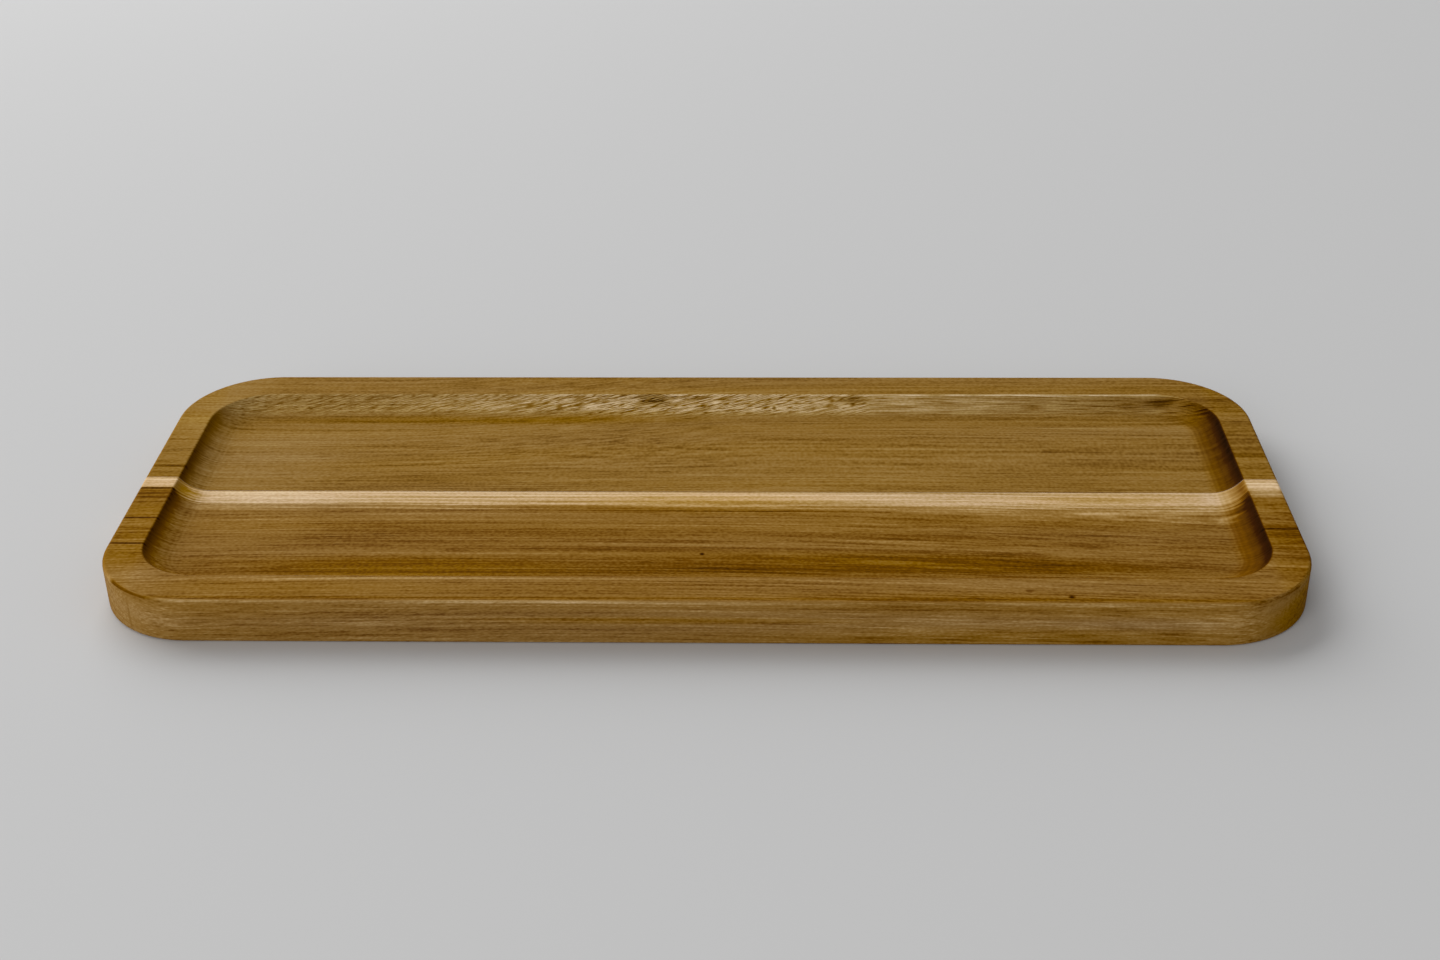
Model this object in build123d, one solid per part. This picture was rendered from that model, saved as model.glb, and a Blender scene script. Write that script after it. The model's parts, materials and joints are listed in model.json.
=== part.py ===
from build123d import *

import math
import os

# A shallow pen tray, routed from a board that is edge-glued from two wooden staves.
# Millimetres. X runs along the grain, +Y towards the rear edge and +Z up.
# The origin is the middle of the underside.

# Outside of the tray
TRAY_LENGTH = 300.0
TRAY_WIDTH = 120.0
TRAY_HEIGHT = 12.0
CORNER_RADIUS = 25.0

# Rim left standing around the pocket, measured on the top face before its edges are eased
RIM_AT_ENDS = 9.0
RIM_AT_SIDES = 11.5

# Pocket, cut with a round-nosed cutter that leaves a cove instead of an upright wall
POCKET_DEPTH = 4.2
MOUTH_CORNER_RADIUS = 16.0
COVE_RADIUS = 10.0

# Sanded edges
TOP_EDGE_ROUND = 0.9
MOUTH_EDGE_ROUND = 0.7
BASE_EDGE_ROUND = 0.9

# Glued edge joint between the two staves, a plain butt joint along the grain
GLUE_LINE_Y = 0.0
GLUE_THICKNESS = 0.15

# Worked out from the sizes above: the cutter sinks less deep than its nose is round,
# so the cove meets the top face at a slant, and the cutter is wider above it than the mouth
floor_height = TRAY_HEIGHT - POCKET_DEPTH
mouth_length = TRAY_LENGTH - 2 * RIM_AT_ENDS
mouth_width = TRAY_WIDTH - 2 * RIM_AT_SIDES
nose_above_rim = max(COVE_RADIUS - POCKET_DEPTH, 0.0)
cove_reach = math.sqrt(COVE_RADIUS**2 - nose_above_rim**2)
cutter_overhang = COVE_RADIUS - cove_reach


def rounded_slab(length, width, corner_radius, height):
    """A slab with upright rounded corners, standing on the XY plane."""
    return extrude(RectangleRounded(length, width, corner_radius), height)


def lowest_face(solid):
    """The flat face at the bottom of a solid."""
    return solid.faces().sort_by(Axis.Z)[0]


def highest_face(solid):
    """The flat face at the top of a solid."""
    return solid.faces().sort_by(Axis.Z)[-1]


def glued_board():
    """The glued board, cut to its outline and with its outer edges sanded round."""
    board = rounded_slab(TRAY_LENGTH, TRAY_WIDTH, CORNER_RADIUS, TRAY_HEIGHT)
    board = fillet(highest_face(board).edges(), TOP_EDGE_ROUND)
    return fillet(lowest_face(board).edges(), BASE_EDGE_ROUND)


def cutter_sweep():
    """The space that the cutter clears, with the cove as its rounded lower edge. It stands up past the rim."""
    sweep = rounded_slab(
        mouth_length + 2 * cutter_overhang,
        mouth_width + 2 * cutter_overhang,
        MOUTH_CORNER_RADIUS + cutter_overhang,
        COVE_RADIUS + TRAY_HEIGHT,
    )
    sweep = fillet(lowest_face(sweep).edges(), COVE_RADIUS)
    return Pos(0, 0, floor_height) * sweep


def routed_tray():
    """The board with its pocket, and with the edge of the pocket's mouth eased."""
    tray = glued_board() - cutter_sweep()
    mouth = highest_face(tray).inner_wires()[0]
    return fillet(mouth.edges(), MOUTH_EDGE_ROUND)


def lengthwise_slice(tray, low_y, high_y):
    """The part of the tray between two upright planes along the grain."""
    block = Box(2 * TRAY_LENGTH, high_y - low_y, 2 * TRAY_HEIGHT, align=(Align.CENTER, Align.MIN, Align.CENTER))
    return tray & (Pos(0, low_y, TRAY_HEIGHT / 2) * block)


def main():
    tray = routed_tray()
    joint_front = GLUE_LINE_Y - GLUE_THICKNESS / 2
    joint_rear = GLUE_LINE_Y + GLUE_THICKNESS / 2
    pieces = {
        "front_stave": lengthwise_slice(tray, -TRAY_WIDTH, joint_front),
        "glue_line": lengthwise_slice(tray, joint_front, joint_rear),
        "rear_stave": lengthwise_slice(tray, joint_rear, TRAY_WIDTH),
    }
    os.makedirs("parts", exist_ok=True)
    for name, piece in pieces.items():
        export_step(piece, f"parts/{name}.step")


main()
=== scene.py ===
import json
import math

import bmesh
import bpy
from mathutils import Matrix, Vector


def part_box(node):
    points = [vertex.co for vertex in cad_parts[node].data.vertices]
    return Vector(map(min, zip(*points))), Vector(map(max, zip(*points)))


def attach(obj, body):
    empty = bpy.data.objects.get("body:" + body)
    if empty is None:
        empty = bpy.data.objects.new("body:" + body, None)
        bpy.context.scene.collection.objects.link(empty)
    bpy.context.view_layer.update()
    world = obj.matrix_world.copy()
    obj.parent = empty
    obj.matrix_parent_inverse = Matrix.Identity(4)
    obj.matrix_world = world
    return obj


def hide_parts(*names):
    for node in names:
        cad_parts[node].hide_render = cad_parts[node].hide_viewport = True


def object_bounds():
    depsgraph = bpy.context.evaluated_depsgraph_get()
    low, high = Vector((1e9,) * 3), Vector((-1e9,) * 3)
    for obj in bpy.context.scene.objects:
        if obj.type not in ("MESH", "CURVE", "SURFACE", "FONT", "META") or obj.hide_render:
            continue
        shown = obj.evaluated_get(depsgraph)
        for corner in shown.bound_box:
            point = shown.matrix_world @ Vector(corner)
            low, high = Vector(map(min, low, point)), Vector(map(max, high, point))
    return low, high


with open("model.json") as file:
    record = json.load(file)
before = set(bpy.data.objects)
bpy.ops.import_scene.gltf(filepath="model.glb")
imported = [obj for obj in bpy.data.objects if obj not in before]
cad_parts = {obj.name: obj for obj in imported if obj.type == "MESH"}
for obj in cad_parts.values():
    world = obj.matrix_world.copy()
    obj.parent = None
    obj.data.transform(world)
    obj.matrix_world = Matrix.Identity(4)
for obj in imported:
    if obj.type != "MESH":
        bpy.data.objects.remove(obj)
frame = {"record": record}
cad_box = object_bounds()

# Rear stave: the rear half of the tray, a strip of oiled brown hardwood.
# Two staves are glued edge to edge, the board is cut to its outline, and a round-nosed
# cutter sinks the pocket, so one routed board is drawn here and parted at the joint.

# Sizes are millimetres, and a round is made of steps. A narrow flat strip beside each round
# keeps the shading of the flat faces even
MM = 0.001
cad_low, cad_high = cad_box
BOARD_LENGTH = (cad_high.x - cad_low.x) / MM
BOARD_WIDTH = (cad_high.y - cad_low.y) / MM
BOARD_HEIGHT = (cad_high.z - cad_low.z) / MM
CORNER_RADIUS = 25.0
CORNER_STEPS = 32
OUTER_EDGE_ROUND = 0.9
OUTER_EDGE_STEPS = 6
RIM_AT_ENDS = 9.0
RIM_AT_SIDES = 11.5
MOUTH_EDGE_ROUND = 0.7
MOUTH_EDGE_STEPS = 6
COVE_RADIUS = 10.0
COVE_STEPS = 18
FLAT_MARGIN = 0.3
SAME_PLACE = 1e-6
SHARP_ANGLE = math.radians(40)
mounts = {mount["name"]: mount for mount in frame["record"]["mounts"]}
FLOOR_HEIGHT = mounts["pocket_floor"]["pos_m"][2] / MM


def pocket_profile():
    """Points from the rim down to the floor, as (distance in from the mouth, height)."""
    cove_centre_height = FLOOR_HEIGHT + COVE_RADIUS
    cove_reach = math.sqrt(COVE_RADIUS**2 - (cove_centre_height - BOARD_HEIGHT) ** 2)
    round_centre_height = BOARD_HEIGHT - MOUTH_EDGE_ROUND
    centres_apart = COVE_RADIUS + MOUTH_EDGE_ROUND
    slope = math.acos((cove_centre_height - round_centre_height) / centres_apart)
    round_centre_in = cove_reach - centres_apart * math.sin(slope)
    points = []
    for step in range(MOUTH_EDGE_STEPS + 1):
        turn = slope * step / MOUTH_EDGE_STEPS
        inwards = round_centre_in + MOUTH_EDGE_ROUND * math.sin(turn)
        points.append((inwards, round_centre_height + MOUTH_EDGE_ROUND * math.cos(turn)))
    for step in range(1, COVE_STEPS + 1):
        turn = slope * (1 - step / COVE_STEPS)
        inwards = cove_reach - COVE_RADIUS * math.sin(turn)
        points.append((inwards, cove_centre_height - COVE_RADIUS * math.cos(turn)))
    return points


def underside_and_top(shape):
    """The lowest and the highest face of a shape."""
    by_height = sorted(shape.faces, key=lambda f: f.calc_center_median().z)
    return by_height[0], by_height[-1]


def routed_board():
    """The whole tray in millimetres, as one closed shape."""
    shape = bmesh.new()
    bmesh.ops.create_cube(shape, size=1.0)
    bmesh.ops.scale(shape, vec=(BOARD_LENGTH, BOARD_WIDTH, BOARD_HEIGHT), verts=shape.verts)
    bmesh.ops.translate(shape, vec=(0, 0, BOARD_HEIGHT / 2), verts=shape.verts)
    uprights = [e for e in shape.edges if abs(e.verts[0].co.z - e.verts[1].co.z) > BOARD_HEIGHT / 2]
    bevel = {"offset_type": "OFFSET", "profile": 0.5, "affect": "EDGES", "material": -1}
    bmesh.ops.bevel(shape, geom=uprights, offset=CORNER_RADIUS, segments=CORNER_STEPS, **bevel)
    underside, top = underside_and_top(shape)
    outline = [*underside.edges, *top.edges]
    bmesh.ops.bevel(shape, geom=outline, offset=OUTER_EDGE_ROUND, segments=OUTER_EDGE_STEPS, **bevel)

    def step_in(face, inwards, drop=0.0):
        bmesh.ops.inset_region(shape, faces=[face], thickness=inwards, depth=-drop, use_even_offset=True)

    underside, top = underside_and_top(shape)
    step_in(underside, FLAT_MARGIN)
    step_in(top, FLAT_MARGIN)
    profile = pocket_profile()
    rim_flat = RIM_AT_ENDS + profile[0][0] - OUTER_EDGE_ROUND - 2 * FLAT_MARGIN
    step_in(top, rim_flat)
    for side in (-1, 1):
        side_verts = [v for v in top.verts if v.co.y * side > 0]
        bmesh.ops.translate(shape, vec=(0, side * (RIM_AT_ENDS - RIM_AT_SIDES), 0), verts=side_verts)
    step_in(top, FLAT_MARGIN)
    for (start, high), (end, low) in zip(profile, profile[1:]):
        step_in(top, end - start, high - low)
    step_in(top, FLAT_MARGIN)
    return shape


def part_off(shape, joint_y, side):
    """Saws the shape along the grain and keeps the front (-1) or the rear (1) of the cut."""
    everything = [*shape.verts, *shape.edges, *shape.faces]
    saw = {"plane_co": (0, joint_y, 0), "plane_no": (0, -side, 0), "clear_outer": True}
    cut = bmesh.ops.bisect_plane(shape, geom=everything, dist=SAME_PLACE, **saw)
    rim = [item for item in cut["geom_cut"] if isinstance(item, bmesh.types.BMEdge)]
    bmesh.ops.edgeloop_fill(shape, edges=rim)


def finished_piece(name, shape, material):
    """Brings a shape in millimetres to the frame's metres and makes an object of it."""
    bmesh.ops.recalc_face_normals(shape, faces=shape.faces)
    bmesh.ops.scale(shape, vec=(MM, MM, MM), verts=shape.verts)
    mesh = bpy.data.meshes.new(name)
    shape.to_mesh(mesh)
    shape.free()
    mesh.shade_smooth()
    mesh.set_sharp_from_angle(angle=SHARP_ANGLE)
    mesh.materials.append(material)
    piece = bpy.data.objects.new(name, mesh)
    bpy.context.collection.objects.link(piece)
    return piece


def linear(hex_colour):
    """An sRGB hex colour as the linear colour that a shader takes."""
    channels = [int(hex_colour[i : i + 2], 16) / 255 for i in (1, 3, 5)]
    return (*[c / 12.92 if c <= 0.04045 else ((c + 0.055) / 1.055) ** 2.4 for c in channels], 1.0)


def add(tree, kind, inputs, output=0, stops=(), **settings):
    """Adds a node with its settings, and gives its inputs numbers or links. Returns one of its outputs."""
    made = tree.nodes.new("ShaderNode" + kind)
    for name, value in settings.items():
        setattr(made, name, value)
    for name, value in inputs.items():
        if isinstance(value, bpy.types.NodeSocket):
            tree.links.new(value, made.inputs[name])
        else:
            made.inputs[name].default_value = value
    for number, (place, colour) in enumerate(stops):
        ramp = made.color_ramp.elements
        stop = ramp[number] if number < len(ramp) else ramp.new(place)
        stop.position = place
        stop.color = linear(colour)
    return made.outputs[output]


# Tones are steps on the 0 to 255 colour scale, lighter or darker than plain heartwood.
# Sizes are millimetres: lengths along the grain, widths across it. Real fibres and pores are about
# 0.2 mm wide, and they are drawn three to four times wider so that they show.
FLECK = (0.9, 0.6, 40.0)
PORE_LENGTH, PORE_WIDTH, PORE_TONE = 9.0, 0.8, -11.0
WARMTH_LENGTH, WARMTH_WIDTH, WARMTH = 90.0, 7.0, 0.07
UPRIGHT_FINENESS = 1.7

# The grain drifts across the board and a little through it. Growth rings are about two millimetres apart
WANDER_LENGTH, WANDER_WIDTH, WANDER = 150.0, 40.0, 2.5
DRIFT_WAY, BOW_SPAN = (0.0, -1.0, -0.35), 100.0
ACROSS_AND_UP = (0.0, 1.0, 1.0)
RING_SPACING, RING_SWELL, RING_UNEVENNESS = 2.1, 5.0, 2.4
LATEWOOD_SHARPNESS, RING_TONE = 3.0, -14.0

# Sapwood, the pale outermost rings
SAPWOOD_TONE, SAPWOOD_TONE_ON_RIM = 76.0, 79.0
SAP_STREAK_LENGTH, SAP_STREAK_WIDTH, SAP_STREAK_TONE = 45.0, 0.7, 42.0

# End grain: the grain dips to the right, so one end of the pocket cuts it more squarely than the other
GRAIN_DIP = math.radians(14.0)
END_GRAIN_TONE, END_GRAIN_WARMTH, OIL_IN_SAPWOOD = -86.0, 0.08, 0.8
END_WALL_FIGURE, FIGURE_GONE = 0.34, 0.6
END_RING_TONE, END_PORE_SIZE, END_PORE_TONE = -44.0, 0.7, 100.0
BRINK_TONE, BRINK_DEPTH = -15.0, 2.5
CUTTER_MARK_WIDTH, CUTTER_MARK_TONE, CUTTER_MARK_REACH = 0.9, 22.0, 6.0

# Ripples on the faces with the painted sheen, and a painted highlight along their top edges, broken into
# patches
STROKES = ((9.0, 0.8), (6.0, 0.5))
STROKE_STRETCH, SHALLOW_STROKES, BOLD_REACH = 3.0, 0.5, 80.0
HIGHLIGHT_BREAK_LENGTH, HIGHLIGHT_BREAK_WIDTH, HIGHLIGHT_LEAST = 25.0, 12.0, 0.3
ARRIS_DEPTH, ARRIS_FADE = 0.5, 0.2

# Distances from the tray's middle at which the pocket's finish ends, the back begins and the end rims begin
POCKET_END, BACK_START, END_RIM_START = 143.0, 53.0, 138.0
END_RIM_WARMTH = 0.035

# A range takes its input from socket 1 to socket 2, and gives 0 to 1 unless sockets 3 and 4 say otherwise
SMOOTH = {"interpolation_type": "SMOOTHSTEP"}
FALLING = {3: 1.0, 4: 0.0}
STANDING_TO_LYING = {1: 0.2, 2: 0.5}
LEVEL_TO_SLOPING = {1: 0.1, 2: 0.5}
LEVEL_TO_CURVED = {1: 0.03, 2: 0.15}
CURVED_TO_STEEP = {1: 0.1, 2: 0.35}
LEVEL_TO_EDGE = {1: 0.08, 2: 0.25}
STRAIGHT_TO_ROUND = {1: 0.05, 2: 0.3}
PORE_EDGE = {1: -0.13, 2: -0.22}
HIGHLIGHT_BREAK_EDGE = {1: -0.2, 2: 0.2}
STROKE_EDGE = {1: 0.1, 2: 0.0, 4: -1.0}
SAPWOOD_EDGE = {1: -1.0, 2: 1.0}
MARK_EDGE = {1: 1.0, 2: 0.1}
SOFT_EDGE, WIDE_SOFT_EDGE = 2.0, 4.0
NOISE_MIDDLE = 0.5

# Oil that has sunk in and dried leaves hardly any shine, and the dark lines are the roughest
SHINE = 0.002
ROUGHNESS = {1: -30.0, 2: 30.0, 3: 0.6, 4: 0.4}
RELIEF_PER_TONE, RELIEF_STRENGTH = 0.001, 0.2


def oiled_acacia(
    name, tones, log_place, pith, sweep, bands, painted_sheen_tone, edge_highlight, ripples, marks, sapwood=None
):
    """Acacia, sanded and oiled: fine lines along the grain in broad drifting bands, with a dull finish.

    Tones give the colour at each step. The log place shifts the lines, so that no two staves are alike,
    and the pith is the middle of the growth rings. A band is its lines' length, width and tone. A mark
    is a middle, half sizes, a turn in degrees, a tone and a warmth.
    """
    material = bpy.data.materials.new(name)
    material.use_nodes = True
    tree = material.node_tree
    shader = tree.nodes["Principled BSDF"]
    surface = tree.nodes.new("ShaderNodeTexCoord").outputs
    place = add(tree, "Mapping", {"Vector": surface["Object"], "Scale": (1 / MM, 1 / MM, 1 / MM)})
    along, across, high = (add(tree, "SeparateXYZ", {0: place}, output=axis) for axis in "XYZ")
    from_middle = add(tree, "Math", {0: along}, operation="ABSOLUTE")
    above_floor = add(tree, "Math", {0: high, 1: FLOOR_HEIGHT}, operation="SUBTRACT")

    # Which way the surface faces
    facing = {0: surface["Normal"]}
    endways, sideways, facing_up = (add(tree, "SeparateXYZ", facing, output=axis) for axis in "XYZ")
    endways, sideways = (add(tree, "Math", {0: way}, operation="ABSOLUTE") for way in (endways, sideways))
    lying = add(tree, "MapRange", {"Value": facing_up, **STANDING_TO_LYING}, **SMOOTH)
    standing = add(tree, "MapRange", {"Value": facing_up, **STANDING_TO_LYING, **FALLING}, **SMOOTH)
    sloping = add(tree, "MapRange", {"Value": sideways, **LEVEL_TO_SLOPING}, **SMOOTH)

    # Height does not count on the ends of the pocket, so that lines run straight up them
    counted = add(tree, "Math", {0: sloping, 1: standing}, operation="MAXIMUM")
    level = add(tree, "Math", {0: above_floor, 1: counted}, operation="MULTIPLY")
    unrolled = add(tree, "CombineXYZ", {"X": along, "Y": across, "Z": level})

    def lines(source, length, width):
        """Soft lines of about this length along the grain and this width across it, from -0.5 to 0.5."""
        scale = (1 / length, 1 / width, UPRIGHT_FINENESS / width)
        stretched = add(tree, "Mapping", {"Vector": source, "Location": log_place, "Scale": scale})
        noise = add(tree, "TexNoise", {"Vector": stretched, "Scale": 1.0, "Detail": 0.0})
        return add(tree, "Math", {0: noise, 1: NOISE_MIDDLE}, operation="SUBTRACT")

    # Grain direction: it wanders a little, sweeps across part of the stave and is bowed on the rest of it
    wander = lines(place, WANDER_LENGTH, WANDER_WIDTH)
    wander = add(tree, "Math", {0: wander, 1: 2 * WANDER}, operation="MULTIPLY")
    rise = {"Value": along, 1: sweep["start"], 2: sweep["end"], 4: sweep["rise"]}
    rise = add(tree, "MapRange", rise, **SMOOTH)
    from_crest = add(tree, "Math", {0: along, 1: sweep["crest"]}, operation="SUBTRACT")
    from_crest = add(tree, "Math", {0: from_crest, 1: from_crest}, operation="MULTIPLY")
    bow = add(tree, "Math", {0: from_crest, 1: -sweep["bow"] / BOW_SPAN**2}, operation="MULTIPLY")
    drift = {"Value": across, 1: sweep["foot"], 2: sweep["top"], 3: bow, 4: rise}
    drift = add(tree, "MapRange", drift, **SMOOTH)
    drift = add(tree, "Math", {0: drift, 1: wander}, operation="ADD")
    grain = add(tree, "VectorMath", {0: drift, 1: DRIFT_WAY, 2: unrolled}, operation="MULTIPLY_ADD")

    # Growth rings round the pith, each with a thin dark end of its own strength
    from_pith = add(tree, "VectorMath", {0: drift, 1: DRIFT_WAY, 2: place}, operation="MULTIPLY_ADD")
    from_pith = add(tree, "VectorMath", {0: from_pith, 1: pith}, operation="SUBTRACT")
    from_pith = add(tree, "VectorMath", {0: from_pith, 1: ACROSS_AND_UP}, operation="MULTIPLY")
    radius = add(tree, "VectorMath", {0: from_pith}, output="Value", operation="LENGTH")
    uneven = {"W": radius, "Scale": 1 / RING_SWELL, "Detail": 0.0}
    uneven = add(tree, "TexNoise", uneven, noise_dimensions="1D")
    age = add(tree, "Math", {0: uneven, 1: RING_UNEVENNESS, 2: radius}, operation="MULTIPLY_ADD")
    age = add(tree, "Math", {0: age, 1: RING_SPACING}, operation="DIVIDE")
    season = add(tree, "Math", {0: age}, operation="FRACT")
    year = add(tree, "Math", {0: age}, operation="FLOOR")
    vigour = add(tree, "TexWhiteNoise", {"W": year}, noise_dimensions="1D")
    latewood = add(tree, "Math", {0: season, 1: LATEWOOD_SHARPNESS}, operation="POWER")
    latewood = add(tree, "Math", {0: latewood, 1: vigour}, operation="MULTIPLY")
    figure = add(tree, "Math", {0: latewood, 1: RING_TONE}, operation="MULTIPLY")

    # Fibres, bands and pores along the grain
    for length, width, line_tone in (FLECK, *bands):
        layer = lines(grain, length, width)
        figure = add(tree, "Math", {0: layer, 1: line_tone, 2: figure}, operation="MULTIPLY_ADD")
    pores = lines(grain, PORE_LENGTH, PORE_WIDTH)
    pores = add(tree, "MapRange", {"Value": pores, **PORE_EDGE, 4: PORE_TONE}, **SMOOTH)
    figure = add(tree, "Math", {0: figure, 1: pores}, operation="ADD")

    # Cut across the grain, the pocket's ends keep part of the figure, and the board's ends show rings
    # and open pores
    grain_way = (math.cos(GRAIN_DIP), 0.0, -math.sin(GRAIN_DIP))
    on_level_face = math.sin(GRAIN_DIP)
    crossing = {0: surface["Normal"], 1: grain_way}
    crossing = add(tree, "VectorMath", crossing, output="Value", operation="DOT_PRODUCT")
    crossing = add(tree, "Math", {0: crossing}, operation="ABSOLUTE")
    end_grain = add(tree, "MapRange", {"Value": crossing, 1: on_level_face, 2: 1.0})
    clear = {"Value": crossing, 1: on_level_face, 2: FIGURE_GONE, **FALLING}
    clear = add(tree, "MapRange", clear, **SMOOTH)
    on_end_wall = add(tree, "Math", {0: lying, 1: END_WALL_FIGURE}, operation="MULTIPLY")
    clear = add(tree, "Math", {0: clear, 1: on_end_wall}, operation="MAXIMUM")
    tone = add(tree, "Math", {0: figure, 1: clear}, operation="MULTIPLY")
    open_pores = add(tree, "TexNoise", {"Vector": place, "Scale": 1 / END_PORE_SIZE, "Detail": 1.0})
    open_pores = add(tree, "Math", {0: open_pores, 1: NOISE_MIDDLE}, operation="SUBTRACT")
    end_rings = add(tree, "Math", {0: latewood, 1: END_RING_TONE}, operation="MULTIPLY")
    end_figure = {0: open_pores, 1: END_PORE_TONE, 2: end_rings}
    end_figure = add(tree, "Math", end_figure, operation="MULTIPLY_ADD")
    sawn_end = add(tree, "Math", {0: end_grain, 1: standing}, operation="MULTIPLY")
    tone = add(tree, "Math", {0: sawn_end, 1: end_figure, 2: tone}, operation="MULTIPLY_ADD")

    # Cutter marks: faint lines that follow the ends of the pocket at one distance up the cove
    climb = add(tree, "Math", {0: above_floor, 1: 2 * COVE_RADIUS}, operation="MULTIPLY")
    climb = add(tree, "Math", {0: climb, 1: 0.0}, operation="MAXIMUM")
    climb = add(tree, "Math", {0: climb}, operation="SQRT")
    cutter = {"W": climb, "Scale": 1 / CUTTER_MARK_WIDTH, "Detail": 0.0}
    cutter = add(tree, "TexNoise", cutter, noise_dimensions="1D")
    cutter = add(tree, "Math", {0: cutter, 1: NOISE_MIDDLE}, operation="SUBTRACT")
    low_wall = {"Value": climb, 1: CUTTER_MARK_REACH, 2: CUTTER_MARK_REACH - SOFT_EDGE, 4: CUTTER_MARK_TONE}
    low_wall = add(tree, "MapRange", low_wall, **SMOOTH)
    curved = add(tree, "MapRange", {"Value": endways, **LEVEL_TO_CURVED}, **SMOOTH)
    low_wall = add(tree, "Math", {0: low_wall, 1: curved}, operation="MULTIPLY")
    low_wall = add(tree, "Math", {0: low_wall, 1: lying}, operation="MULTIPLY")
    tone = add(tree, "Math", {0: cutter, 1: low_wall, 2: tone}, operation="MULTIPLY_ADD")

    # Sapwood ends in a ragged edge, which is blurred on the floor and sharp on the rims
    sap = 0.0
    if sapwood:
        half_length = BOARD_LENGTH / 2
        on_rims = {3: sapwood["blur_on_left_rim"], 4: sapwood["blur_on_right_rim"]}
        on_rims = add(tree, "MapRange", {"Value": along, 1: -half_length, 2: half_length, **on_rims})
        up_the_wall = {"Value": high, 1: FLOOR_HEIGHT, 2: BOARD_HEIGHT}
        blur = add(tree, "MapRange", {**up_the_wall, 3: sapwood["blur_on_floor"], 4: on_rims})
        outside = add(tree, "Math", {0: radius, 1: sapwood["inner_radius"]}, operation="SUBTRACT")
        outside = add(tree, "Math", {0: outside, 1: blur}, operation="DIVIDE")
        streak = lines(grain, SAP_STREAK_LENGTH, SAP_STREAK_WIDTH)
        outside = {0: streak, 1: sapwood["raggedness"], 2: outside}
        outside = add(tree, "Math", outside, operation="MULTIPLY_ADD")
        sap = add(tree, "MapRange", {"Value": outside, **SAPWOOD_EDGE}, **SMOOTH)
        plain = add(tree, "MapRange", {**up_the_wall, 3: SAPWOOD_TONE, 4: SAPWOOD_TONE_ON_RIM})
        paleness = add(tree, "Math", {0: streak, 1: SAP_STREAK_TONE, 2: plain}, operation="MULTIPLY_ADD")
        tone = add(tree, "Math", {0: sap, 1: paleness, 2: tone}, operation="MULTIPLY_ADD")

    # In the pocket, faces cut across the grain soak up more oil and are darker, and the ends are darker
    # still near the rim
    oily = add(tree, "MapRange", {"Value": sap, 3: END_GRAIN_TONE, 4: OIL_IN_SAPWOOD * END_GRAIN_TONE})
    in_pocket = {"Value": from_middle, 1: POCKET_END, 2: POCKET_END + SOFT_EDGE, **FALLING}
    in_pocket = add(tree, "MapRange", in_pocket, **SMOOTH)
    soaked = add(tree, "Math", {0: end_grain, 1: lying}, operation="MULTIPLY")
    soaked = add(tree, "Math", {0: soaked, 1: in_pocket}, operation="MULTIPLY")
    tone = add(tree, "Math", {0: soaked, 1: oily, 2: tone}, operation="MULTIPLY_ADD")
    brink = add(tree, "MapRange", {"Value": endways, **CURVED_TO_STEEP, 4: BRINK_TONE}, **SMOOTH)
    brink = add(tree, "Math", {0: brink, 1: in_pocket}, operation="MULTIPLY")
    near_rim = {"Value": high, 1: BOARD_HEIGHT - BRINK_DEPTH, 2: BOARD_HEIGHT - BRINK_DEPTH + SOFT_EDGE}
    near_rim = add(tree, "MapRange", near_rim, **SMOOTH)
    tone = add(tree, "Math", {0: brink, 1: near_rim, 2: tone}, operation="MULTIPLY_ADD")

    # Faces that slope sideways, toward the front or the back, get a painted sheen that makes them paler,
    # and their straight top edges get a painted highlight
    ahead_of_back = {"Value": across, 1: BACK_START, 2: BACK_START + WIDE_SOFT_EDGE, **FALLING}
    ahead_of_back = add(tree, "MapRange", ahead_of_back, **SMOOTH)
    sheen_faces = add(tree, "Math", {0: sloping, 1: ahead_of_back}, operation="MULTIPLY")
    tone = add(tree, "Math", {0: sheen_faces, 1: painted_sheen_tone, 2: tone}, operation="MULTIPLY_ADD")
    edge = add(tree, "MapRange", {"Value": sideways, **LEVEL_TO_EDGE}, **SMOOTH)
    straight = add(tree, "MapRange", {"Value": endways, **STRAIGHT_TO_ROUND, **FALLING}, **SMOOTH)
    # The painted highlight: a pale line along the top of the straight edges, over part of their length,
    # broken by noise
    arris_highlight = {"Value": high, 1: BOARD_HEIGHT - ARRIS_DEPTH, 2: BOARD_HEIGHT - ARRIS_DEPTH + ARRIS_FADE}
    arris_highlight = add(tree, "MapRange", arris_highlight, **SMOOTH)
    for share in (edge, ahead_of_back, straight):
        arris_highlight = add(tree, "Math", {0: arris_highlight, 1: share}, operation="MULTIPLY")
    highlight_span = {"Value": along, 1: edge_highlight["start"], 2: edge_highlight["end"], 4: edge_highlight["tone"]}
    highlight_span = add(tree, "MapRange", highlight_span, **SMOOTH)
    arris_highlight = add(tree, "Math", {0: arris_highlight, 1: highlight_span}, operation="MULTIPLY")
    highlight_breaks = lines(place, HIGHLIGHT_BREAK_LENGTH, HIGHLIGHT_BREAK_WIDTH)
    highlight_breaks = add(tree, "MapRange", {"Value": highlight_breaks, **HIGHLIGHT_BREAK_EDGE, 3: HIGHLIGHT_LEAST})
    tone = add(tree, "Math", {0: arris_highlight, 1: highlight_breaks, 2: tone}, operation="MULTIPLY_ADD")

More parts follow.
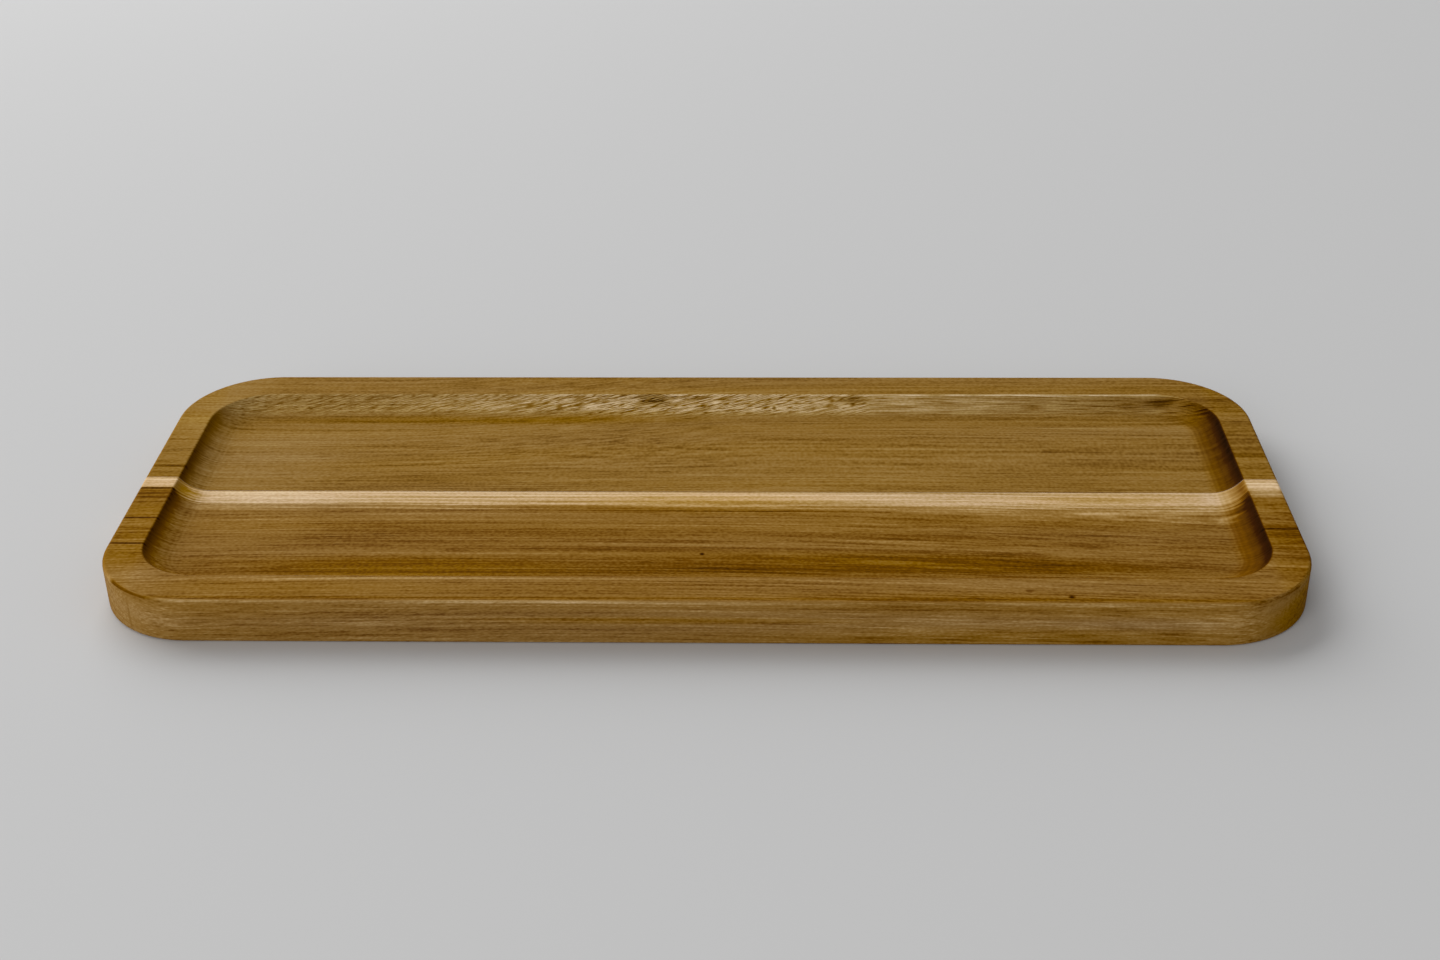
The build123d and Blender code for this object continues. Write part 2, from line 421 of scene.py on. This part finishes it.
    # Ripples: thin dark strokes on those faces, slanting where the grain dives, and long and level beyond
    dive = add(tree, "MapRange", {"Value": along, 1: ripples["start"], 2: ripples["end"]})
    leaned = {0: place, 1: ACROSS_AND_UP}
    leaned = add(tree, "VectorMath", leaned, output="Value", operation="DOT_PRODUCT")
    leaned = add(tree, "Math", {0: dive, 1: -ripples["rise"], 2: leaned}, operation="MULTIPLY_ADD")
    run = add(tree, "Math", {0: along, 1: ripples["end"]}, operation="MINIMUM")
    beyond = add(tree, "Math", {0: along, 1: run}, operation="SUBTRACT")
    run = add(tree, "Math", {0: beyond, 1: 1 / STROKE_STRETCH, 2: run}, operation="MULTIPLY_ADD")
    leaned = add(tree, "CombineXYZ", {"X": run, "Y": leaned})
    strokes = 0.0
    for length, width in STROKES:
        stroke = lines(leaned, length, width)
        stroke = add(tree, "Math", {0: stroke}, operation="ABSOLUTE")
        stroke = add(tree, "MapRange", {"Value": stroke, **STROKE_EDGE}, **SMOOTH)
        strokes = add(tree, "Math", {0: stroke, 1: strokes}, operation="MINIMUM")
    aside = add(tree, "Math", {0: along, 1: ripples["boldest"]}, operation="SUBTRACT")
    aside = add(tree, "Math", {0: aside}, operation="ABSOLUTE")
    depth = {"Value": aside, 2: BOLD_REACH, 3: ripples["tone"], 4: SHALLOW_STROKES * ripples["tone"]}
    depth = add(tree, "MapRange", depth, **SMOOTH)
    depth = add(tree, "Math", {0: depth, 1: sheen_faces}, operation="MULTIPLY")
    tone = add(tree, "Math", {0: strokes, 1: depth, 2: tone}, operation="MULTIPLY_ADD")

    # Marks: soft oval bands, knots and dots in their own places
    marked = 0.0
    warmth = 1.0
    for middle, half_size, turn, mark_tone, mark_warmth in marks.values():
        where = {"Location": middle, "Rotation": (0.0, 0.0, math.radians(turn)), "Scale": half_size}
        spot = add(tree, "Mapping", {"Vector": place, **where}, vector_type="TEXTURE")
        spot = add(tree, "VectorMath", {0: spot}, output="Value", operation="LENGTH")
        spot = add(tree, "MapRange", {"Value": spot, **MARK_EDGE}, **SMOOTH)
        marked = add(tree, "Math", {0: spot, 1: mark_tone, 2: marked}, operation="MULTIPLY_ADD")
        if mark_warmth:
            warmth = add(tree, "Math", {0: spot, 1: mark_warmth, 2: warmth}, operation="MULTIPLY_ADD")
    tone = add(tree, "Math", {0: tone, 1: marked}, operation="ADD")

    # Colour: the tone picks it, and the warmth makes it more golden or greyer
    darkest, lightest = min(tones), max(tones)
    share = add(tree, "MapRange", {"Value": tone, 1: darkest, 2: lightest})
    stops = [((step - darkest) / (lightest - darkest), colour) for step, colour in tones.items()]
    colour = add(tree, "ValToRGB", {"Fac": share}, stops=stops)
    glow = lines(grain, WARMTH_LENGTH, WARMTH_WIDTH)
    warmth = add(tree, "Math", {0: glow, 1: WARMTH, 2: warmth}, operation="MULTIPLY_ADD")
    oil_warmth = add(tree, "MapRange", {"Value": sap, 3: END_GRAIN_WARMTH, 4: 0.0})
    warmth = add(tree, "Math", {0: soaked, 1: oil_warmth, 2: warmth}, operation="MULTIPLY_ADD")
    on_rim = {"Value": from_middle, 1: END_RIM_START, 2: END_RIM_START + WIDE_SOFT_EDGE, 4: END_RIM_WARMTH}
    on_rim = add(tree, "MapRange", on_rim, **SMOOTH)
    warmth = add(tree, "Math", {0: on_rim, 1: lying, 2: warmth}, operation="MULTIPLY_ADD")
    colour = add(tree, "HueSaturation", {"Color": colour, "Saturation": warmth})
    tree.links.new(colour, shader.inputs["Base Color"])

    # Finish: the figure also makes the surface rougher or smoother, and stands up or sinks by a hair
    roughness = add(tree, "MapRange", {"Value": figure, **ROUGHNESS})
    tree.links.new(roughness, shader.inputs["Roughness"])
    relief = {"Height": figure, "Strength": RELIEF_STRENGTH, "Distance": RELIEF_PER_TONE * MM}
    relief = add(tree, "Bump", relief)
    tree.links.new(relief, shader.inputs["Normal"])
    shader.inputs["Specular IOR Level"].default_value = SHINE
    return material


joint_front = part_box("front_stave")[1].y / MM
joint_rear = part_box("rear_stave")[0].y / MM

PIN_KNOT = (6.5, 2.0, 6.0)
RING_LINE = (10.0, 0.7, 1.4)
rear_wood = oiled_acacia(
    "Oiled acacia, rear stave",
    tones={
        -110: "#1C0C01",
        -70: "#3A1D02",
        -40: "#623F0C",
        -20: "#7A5518",
        0: "#916C2D",
        20: "#9D7A40",
        40: "#AB8B4E",
        60: "#BD9D62",
        80: "#CFB382",
        110: "#EBD3AC",
    },
    log_place=(3.3, 8.7, 21.0),
    pith=(0.0, 22.0, -50.0),
    sweep={
        "start": -90.0,
        "end": 20.0,
        "rise": 12.0,
        "foot": 8.0,
        "top": 34.0,
        "crest": 0.0,
        "bow": 0.0,
    },
    bands=((45.0, 0.6, 56.0), (60.0, 2.4, 8.0), (90.0, 6.0, 10.0), (110.0, 15.0, 16.0)),
    # Painted sheen on the faces toward the front and the back, and a painted highlight along their top
    # edges
    painted_sheen_tone=63.0,
    edge_highlight={"start": -110.0, "end": 20.0, "tone": 52.0},
    ripples={"start": -135.0, "end": 45.0, "rise": 63.0, "boldest": -8.0, "tone": 126.0},
    marks={
        # Painted sheen: the middle of the cove is painted paler
        "painted sheen on the cove": ((-5.0, 46.0, 10.0), (105.0, 9.0, 4.0), 0.0, 41.0, 0.06),
        "dark right end of the cove": ((120.0, 44.5, 10.0), (60.0, 6.0, 3.5), 0.0, -26.0, 0.02),
        "left knot": ((-16.4, 47.5, 11.0), PIN_KNOT, 0.0, -62.0, 0.0),
        "middle knot": ((39.9, 47.5, 11.0), PIN_KNOT, 0.0, -46.0, 0.0),
        "right knot": ((127.0, 46.6, 11.0), PIN_KNOT, 0.0, -70.0, 0.0),
        "dot between the knots": ((17.7, 45.4, 10.0), (0.9, 0.9, 3.0), 0.0, -100.0, 0.0),
        "golden band under the cove": ((-72.0, 40.3, 8.0), (90.0, 3.6, 4.0), 0.5, -13.0, 0.08),
        "pale band on the floor": ((-70.0, 33.5, 8.0), (70.0, 4.5, 4.0), 3.0, 10.0, 0.0),
        "pale streak on the floor": ((105.0, 36.0, 8.0), (28.0, 0.9, 3.0), 0.0, 26.0, 0.0),
        # Painted sheen: the floor is painted paler near the left wall
        "painted sheen on the left end of the floor": ((-120.0, 18.0, 8.0), (30.0, 26.0, 4.0), 0.0, 14.0, -0.02),
        "dark top of the right wall": ((139.5, 20.0, 11.2), (4.0, 40.0, 1.6), 0.0, -11.0, 0.0),
        "pale left corner of the rim": ((-138.0, 36.0, 12.0), (20.0, 36.0, 3.0), 0.0, 24.0, 0.0),
        "first ring on the left rim": ((-145.0, 2.6, 12.0), RING_LINE, 1.0, -26.0, 0.0),
        "second ring on the left rim": ((-145.0, 6.4, 12.0), RING_LINE, -1.0, -28.0, 0.0),
        "third ring on the left rim": ((-144.0, 9.8, 12.0), RING_LINE, 1.5, -22.0, 0.0),
        "fourth ring on the left rim": ((-144.0, 15.0, 12.0), RING_LINE, 0.0, -24.0, 0.0),
        "fifth ring on the left rim": ((-142.0, 27.0, 12.0), RING_LINE, 1.0, -16.0, 0.0),
        "dark right end of the rim": ((146.0, 25.0, 12.0), (10.0, 35.0, 3.0), 0.0, -13.0, -0.02),
        "pale rear rim": ((95.0, 55.0, 12.0), (50.0, 6.0, 3.0), 0.0, 3.0, -0.02),
    },
)
rear_shape = routed_board()
part_off(rear_shape, joint_rear, 1)
rear_stave = finished_piece("rear_stave_wood", rear_shape, rear_wood)
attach(rear_stave, "root")
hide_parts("rear_stave")

# Front stave: the front half of the tray, sawn from the outside of the log.
# It is the same oiled hardwood, with a pale strip of sapwood along its glued edge.

EDGE_LINE = (400.0, 0.9, 0.9)
front_wood = oiled_acacia(
    "Oiled acacia, front stave",
    tones={
        -110: "#1A0B01",
        -70: "#361902",
        -40: "#5C3806",
        -20: "#71480D",
        0: "#8A6324",
        20: "#987236",
        40: "#AC884E",
        60: "#C09F6A",
        80: "#D5B48A",
        110: "#ECD1A8",
    },
    log_place=(5.1, 2.2, 14.6),
    pith=(0.0, -64.0, 55.2),
    sweep={
        "start": 30.0,
        "end": 140.0,
        "rise": -1.8,
        "foot": -16.0,
        "top": -8.0,
        "crest": -40.0,
        "bow": 2.5,
    },
    bands=((110.0, 0.6, 60.0), (150.0, 1.5, 30.0), (120.0, 3.2, 16.0), (150.0, 5.5, 17.0)),
    # Painted sheen on the faces toward the front and the back, and a painted highlight along their top
    # edges
    painted_sheen_tone=14.0,
    edge_highlight={"start": 40.0, "end": -40.0, "tone": 34.0},
    ripples={"start": -200.0, "end": 80.0, "rise": 60.0, "boldest": -60.0, "tone": 14.0},
    marks={
        "pale left of the sapwood": ((-112.0, -5.5, 8.0), (42.0, 6.0, 4.0), 0.0, 10.0, -0.07),
        "golden middle of the sapwood": ((0.0, -3.5, 8.0), (60.0, 4.5, 4.0), 0.0, -11.0, 0.1),
        "golden right of the sapwood": ((105.0, -3.5, 8.0), (45.0, 4.5, 4.0), 0.0, -6.0, 0.08),
        "golden sapwood on the left wall": ((-137.0, -3.0, 10.0), (6.0, 6.0, 4.0), 0.0, -32.0, 0.22),
        "dark sapwood on the right wall": ((138.5, -3.0, 10.8), (5.0, 6.0, 2.4), 0.0, -34.0, 0.0),
        "pale sapwood up to the right wall": ((133.0, -3.0, 8.0), (6.0, 5.0, 2.0), 0.0, 10.0, -0.06),
        "sapwood on the right rim": ((146.0, -2.5, 12.0), (10.0, 3.5, 3.0), 0.0, 16.0, 0.0),
        "fading sapwood on the right rim": ((146.0, -7.4, 12.0), (10.0, 3.2, 2.0), 0.0, 42.0, -0.06),
        "dark band beside the sapwood": ((0.0, -8.0, 8.0), (70.0, 5.0, 4.0), 0.0, -19.0, 0.04),
        "pale middle of the floor": ((5.0, -17.0, 8.0), (70.0, 7.0, 3.0), 0.0, 8.0, 0.0),
        # Painted sheen: the floor is painted paler near the left wall
        "painted sheen on the left end of the floor": ((-118.0, -17.0, 8.0), (30.0, 22.0, 4.0), 0.0, 14.0, 0.01),
        "pale streak on the floor": ((-20.0, -26.0, 8.0), (85.0, 2.0, 4.0), -2.0, 12.0, 0.0),
        "golden left of the floor": ((-75.0, -39.0, 8.0), (60.0, 9.0, 4.0), 0.0, 0.0, 0.08),
        "dark front of the floor": ((30.0, -36.0, 8.0), (150.0, 8.0, 4.0), 0.0, -19.0, 0.05),
        "pale line in the dark front": ((48.0, -37.2, 7.8), (48.0, 1.6, 2.0), 0.0, 6.0, 0.0),
        # Painted shadow: a dark line where the floor meets the front cove, on the right
        "painted shadow line before the cove": ((95.0, -42.4, 8.2), (75.0, 1.2, 1.4), 0.0, -16.0, 0.03),
        "dark left end of the cove": ((-128.0, -44.0, 9.5), (17.0, 7.0, 3.0), 0.0, -24.0, 0.06),
        "left wall": ((-138.0, -30.0, 10.0), (7.0, 30.0, 4.0), 0.0, 2.0, 0.05),
        "dark top of the right wall": ((148.0, -30.0, 10.5), (10.0, 22.0, 6.0), 0.0, -19.0, 0.0),
        "pale foot of the right wall": ((137.5, -30.0, 8.5), (6.0, 24.0, 3.0), 0.0, 13.0, 0.0),
        "golden left rim": ((-145.0, -25.0, 12.0), (9.0, 30.0, 3.0), 0.0, 8.0, 0.04),
        "rear ring on the left rim": ((-145.5, -5.9, 12.0), RING_LINE, 0.0, -64.0, 0.0),
        "first fine ring on the left rim": ((-145.5, -8.4, 12.0), RING_LINE, 1.5, -34.0, 0.0),
        "second fine ring on the left rim": ((-145.5, -10.6, 12.0), RING_LINE, -1.0, -30.0, 0.0),
        "third fine ring on the left rim": ((-145.5, -12.9, 12.0), RING_LINE, 1.0, -26.0, 0.0),
        "middle ring on the left rim": ((-145.5, -21.1, 12.0), RING_LINE, 0.0, -64.0, 0.0),
        "fourth fine ring on the left rim": ((-145.5, -26.2, 12.0), RING_LINE, -1.5, -26.0, 0.0),
        "fifth fine ring on the left rim": ((-145.5, -28.6, 12.0), RING_LINE, 1.0, -24.0, 0.0),
        "front ring on the left rim": ((-145.5, -33.7, 12.0), RING_LINE, 0.0, -64.0, 0.0),
        "dark ring on the right rim": ((145.5, -25.2, 12.0), RING_LINE, 0.0, -44.0, 0.0),
        "pale ring on the right rim": ((148.0, -33.0, 12.0), (12.0, 0.9, 3.0), 0.0, 22.0, 0.0),
        "pale left corner of the rim": ((-143.0, -50.0, 12.0), (12.0, 12.0, 3.0), 0.0, 15.0, 0.0),
        "golden left of the front rim": ((-95.0, -54.0, 12.0), (60.0, 6.0, 3.0), 0.0, 5.0, 0.04),
        "pale right of the front rim": ((60.0, -54.0, 12.0), (110.0, 6.0, 3.0), 0.0, 9.0, -0.02),
        # Painted highlight: a pale line along the mouth edge
        "painted highlight on the mouth edge on the left": ((-75.0, -49.7, 12.0), (130.0, 1.5, 1.5), 0.0, 24.0, 0.0),
        "painted highlight on the mouth edge on the right": ((60.0, -50.5, 12.0), (45.0, 2.2, 1.5), 0.0, 16.0, 0.0),
        "dark line behind the front edge": ((0.0, -58.2, 12.0), EDGE_LINE, 0.0, -12.0, 0.04),
        "dark band behind the front edge": ((45.0, -57.2, 12.0), (75.0, 2.6, 2.0), 0.0, -15.0, 0.03),
        # Painted highlight: a pale line along the front top edge
        "painted highlight on the front edge": ((0.0, -59.75, 11.75), EDGE_LINE, 0.0, 15.0, -0.02),
        # Painted reflection of the table top: the front face is painted paler and greyer
        "grey painted reflection on the left of the front face": ((-40.0, -60.0, 5.0), (140.0, 5.0, 9.0), 0.0, 2.0, -0.06),
        "pale painted reflection on the right of the front face": ((90.0, -60.0, 5.0), (80.0, 5.0, 9.0), 0.0, 2.0, -0.03),
        "golden foot of the front face": ((90.0, -60.0, 2.0), (110.0, 5.0, 5.0), 0.0, -5.0, 0.07),
        "golden streak on the front face": ((-8.0, -60.0, 6.9), (70.0, 5.0, 1.6), 0.0, -10.0, 0.08),
        "pale streak on the front face": ((108.0, -60.0, 6.5), (32.0, 5.0, 2.6), 0.0, 12.0, -0.05),
        # Painted light: the front left corner, which faces the lamp, is painted paler and greyer
        "pale left corner": ((-140.0, -54.0, 6.0), (26.0, 18.0, 11.0), 0.0, 17.0, -0.04),
        "upright line at the left corner": ((-139.3, -55.5, 5.5), (0.6, 1.0, 7.0), 0.0, -18.0, 0.0),
        "pale face before the right corner": ((128.0, -60.0, 6.0), (16.0, 5.0, 6.0), 0.0, 14.0, 0.0),
        # Painted shade: the front right corner, turned away from the lamp, is painted darker
        "painted shade on the right corner": ((148.0, -48.0, 4.0), (18.0, 18.0, 9.0), 0.0, -14.0, 0.16),
        "dot on the floor": ((-0.3, -31.3, 7.8), (0.9, 0.9, 2.0), 0.0, -80.0, 0.0),
        "dot on the front rim": ((88.8, -56.9, 12.0), (1.3, 1.0, 2.0), 0.0, -80.0, 0.0),
        "faint dot on the front rim": ((79.1, -54.3, 12.0), (1.6, 1.0, 2.0), 0.0, -40.0, 0.0),
    },
    sapwood={
        "inner_radius": 73.37,
        "raggedness": 1.6,
        "blur_on_floor": 3.2,
        "blur_on_left_rim": 0.4,
        "blur_on_right_rim": 1.2,
    },
)
front_shape = routed_board()
part_off(front_shape, joint_front, -1)
front_stave = finished_piece("front_stave_wood", front_shape, front_wood)
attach(front_stave, "root")
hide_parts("front_stave")

# Glue line: the cured film of wood glue in the butt joint between the staves.
# It is sanded flush with the wood and shows as a hairline all round the joint.

# Cured glue is amber, mottled in millimetres and finely beaded, which breaks up its gloss
FILM_MOTTLE_SIZE, FILM_BEAD_SIZE = 6.0, 0.8
FILM_MOTTLE = {"Scale": 1 / (FILM_MOTTLE_SIZE * MM), "Detail": 3.0}
FILM_BEADS = {"Scale": 1 / (FILM_BEAD_SIZE * MM), "Detail": 1.0}
FILM_COLOURS = ((0.3, "#5E3F1B"), (0.7, "#7A5628"))
FILM_ROUGHNESS = {3: 0.35, 4: 0.6}
FILM_RELIEF, FILM_RELIEF_STRENGTH = 0.05, 0.3

glue = bpy.data.materials.new("Cured wood glue")
glue.use_nodes = True
film = glue.node_tree
film_shader = film.nodes["Principled BSDF"]
film_place = film.nodes.new("ShaderNodeTexCoord").outputs["Object"]
mottle = add(film, "TexNoise", {"Vector": film_place, **FILM_MOTTLE})
amber = add(film, "ValToRGB", {"Fac": mottle}, stops=FILM_COLOURS)
film.links.new(amber, film_shader.inputs["Base Color"])
beads = add(film, "TexNoise", {"Vector": film_place, **FILM_BEADS})
gloss = add(film, "MapRange", {"Value": beads, **FILM_ROUGHNESS})
film.links.new(gloss, film_shader.inputs["Roughness"])
bump = {"Height": beads, "Strength": FILM_RELIEF_STRENGTH, "Distance": FILM_RELIEF * MM}
bump = add(film, "Bump", bump)
film.links.new(bump, film_shader.inputs["Normal"])
glue_shape = routed_board()
part_off(glue_shape, joint_front, 1)
part_off(glue_shape, joint_rear, -1)
glue_line = finished_piece("glue_line_film", glue_shape, glue)
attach(glue_line, "root")
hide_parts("glue_line")

# Studio: a plain pale table top, a large soft lamp to the left and rear, a weak one to the left and front,
# and even light from all round. Places and sizes here are metres.

FLOOR_SIZE = 20.0
FLOOR_FINISH = {"Base Color": linear("#CECECE"), "Roughness": 0.9, "Specular IOR Level": 0.0}
EVEN_LIGHT = {"Color": linear("#FFFFFF"), "Strength": 0.3}
SOFT_LAMPS = {
    "key_lamp": {"place": (-1.35, 1.7, 1.2), "size": 3.0, "watts": 81.5},
    "fill_lamp": {"place": (-1.0, -1.83, 0.83), "size": 1.7, "watts": 21.5},
}

floor_shape = bmesh.new()
bmesh.ops.create_grid(floor_shape, x_segments=1, y_segments=1, size=FLOOR_SIZE / 2)
floor_mesh = bpy.data.meshes.new("table_top")
floor_shape.to_mesh(floor_mesh)
floor_shape.free()
floor_paint = bpy.data.materials.new("Matt grey table top")
floor_paint.use_nodes = True
floor_shader = floor_paint.node_tree.nodes["Principled BSDF"]
for socket, value in FLOOR_FINISH.items():
    floor_shader.inputs[socket].default_value = value
floor_mesh.materials.append(floor_paint)
floor = bpy.data.objects.new("table_top", floor_mesh)
bpy.context.collection.objects.link(floor)

world = bpy.data.worlds.new("Even light")
world.use_nodes = True
for socket, value in EVEN_LIGHT.items():
    world.node_tree.nodes["Background"].inputs[socket].default_value = value
bpy.context.scene.world = world

for name, made_as in SOFT_LAMPS.items():
    lamp_data = bpy.data.lights.new(name, "AREA")
    lamp_data.size = made_as["size"]
    lamp_data.energy = made_as["watts"]
    lamp = bpy.data.objects.new(name, lamp_data)
    lamp.location = made_as["place"]
    lamp.rotation_euler = (-lamp.location).to_track_quat("-Z", "Y").to_euler()
    bpy.context.collection.objects.link(lamp)

# Camera: it looks down over the front edge from a little right of the middle, as in the photograph.
# Its distance and target are millimetres, its angles degrees, and its focal length the photograph's pixels.

PHOTO_WIDTH = 1440
CAMERA_FOCAL_PIXELS = 1956.7
CAMERA_ELEVATION = 29.664
CAMERA_AZIMUTH = 1.877
CAMERA_ROLL = -0.80
CAMERA_DISTANCE = 518.1
CAMERA_TARGET = Vector((3.46, 0.0, 11.45))
SENSOR_WIDTH, NEAREST_SEEN = 36.0, 10.0
elevation, azimuth, roll = (math.radians(v) for v in (CAMERA_ELEVATION, CAMERA_AZIMUTH, CAMERA_ROLL))
camera_data = bpy.data.cameras.new("camera")
camera_data.sensor_width = SENSOR_WIDTH
camera_data.lens = CAMERA_FOCAL_PIXELS / PHOTO_WIDTH * SENSOR_WIDTH
camera_data.clip_start = NEAREST_SEEN * MM
camera = bpy.data.objects.new("camera", camera_data)
level_way = Vector((math.sin(azimuth), -math.cos(azimuth), 0.0))
away = math.cos(elevation) * level_way + math.sin(elevation) * Vector((0.0, 0.0, 1.0))
turned = (-away).to_track_quat("-Z", "Y").to_matrix() @ Matrix.Rotation(roll, 3, "Z")
camera.matrix_world = Matrix.Translation((CAMERA_TARGET + CAMERA_DISTANCE * away) * MM) @ turned.to_4x4()
bpy.context.collection.objects.link(camera)
bpy.context.scene.camera = camera

bpy.context.scene.view_settings.view_transform = "Standard"
